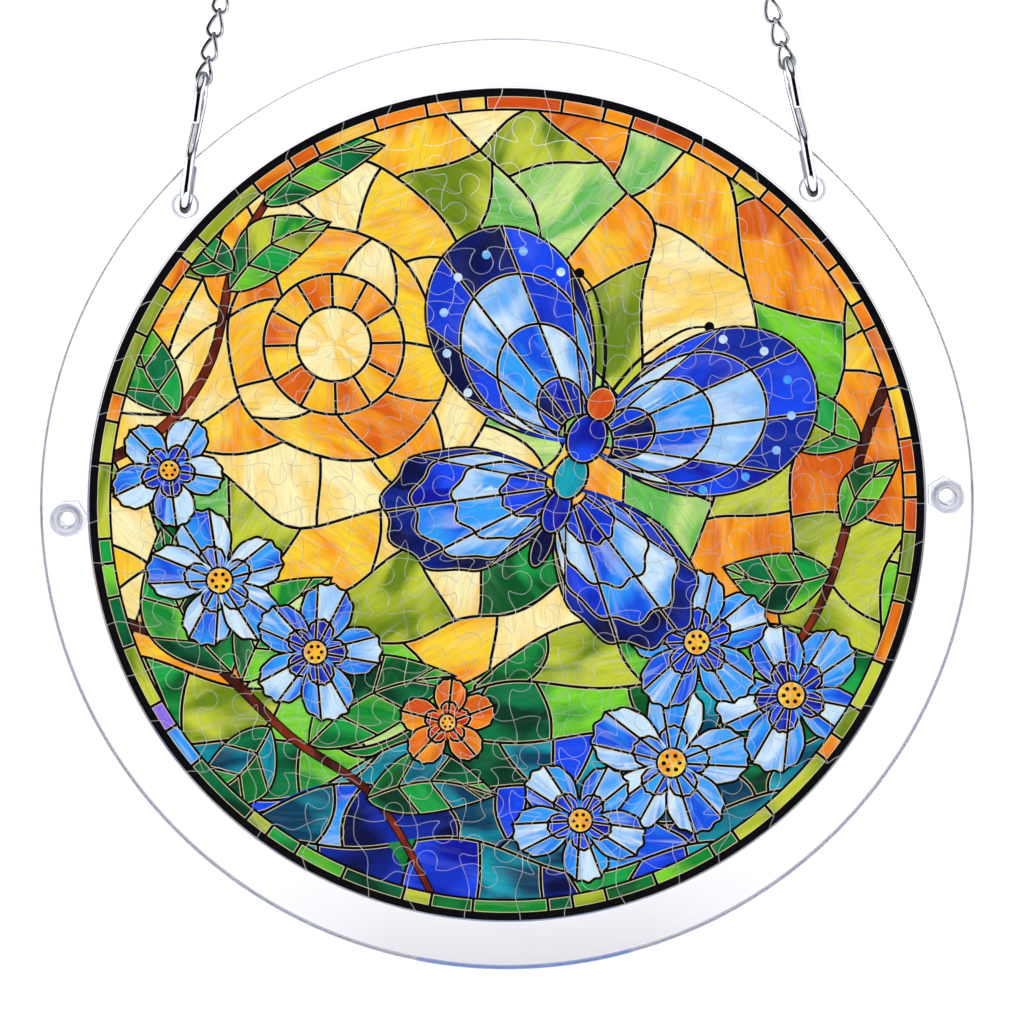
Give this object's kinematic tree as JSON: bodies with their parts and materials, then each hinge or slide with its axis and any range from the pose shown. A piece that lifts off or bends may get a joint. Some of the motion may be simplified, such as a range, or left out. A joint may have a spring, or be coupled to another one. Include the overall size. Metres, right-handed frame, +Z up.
{
  "type": "acrylic puzzle suncatcher",
  "caption": "Round stained-glass style jigsaw puzzle between clear acrylic covers, hung from a fine chain by S-hooks.",
  "frame": {"origin": "the top of the inside of the hanging ring, where it bears on its nail or hook", "axes": "+Z up along the hang, +X to the right seen from the front, and the printed front faces -Y"},
  "size_m": [0.2, 0.0143, 0.4351],
  "materials": {
    "clear_acrylic": "gloss",
    "printed_acrylic": "gloss",
    "clear_nylon": "gloss",
    "polished_steel": "polished"
  },
  "bodies": {
    "root": {"front_cover": "clear_acrylic", "spacer_ring": "clear_acrylic", "back_cover": "clear_acrylic", "puzzle_section_row_1_column_1": "printed_acrylic", "puzzle_section_row_1_column_2": "printed_acrylic", "puzzle_section_row_1_column_3": "printed_acrylic", "puzzle_section_row_1_column_4": "printed_acrylic", "puzzle_section_row_2_column_1": "printed_acrylic", "puzzle_section_row_2_column_2": "printed_acrylic", "puzzle_section_row_2_column_3": "printed_acrylic", "puzzle_section_row_2_column_4": "printed_acrylic", "puzzle_section_row_3_column_1": "printed_acrylic", "puzzle_section_row_3_column_2": "printed_acrylic", "puzzle_section_row_3_column_3": "printed_acrylic", "puzzle_section_row_3_column_4": "printed_acrylic", "puzzle_section_row_4_column_1": "printed_acrylic", "puzzle_section_row_4_column_2": "printed_acrylic", "puzzle_section_row_4_column_3": "printed_acrylic", "puzzle_section_row_4_column_4": "printed_acrylic", "screw_left": "clear_nylon", "screw_right": "clear_nylon", "nut_left": "clear_nylon", "nut_right": "clear_nylon", "s_hook_left": "polished_steel", "s_hook_right": "polished_steel", "chain_left": "polished_steel", "chain_right": "polished_steel", "hanging_ring": "polished_steel"}
  },
  "joints": []
}
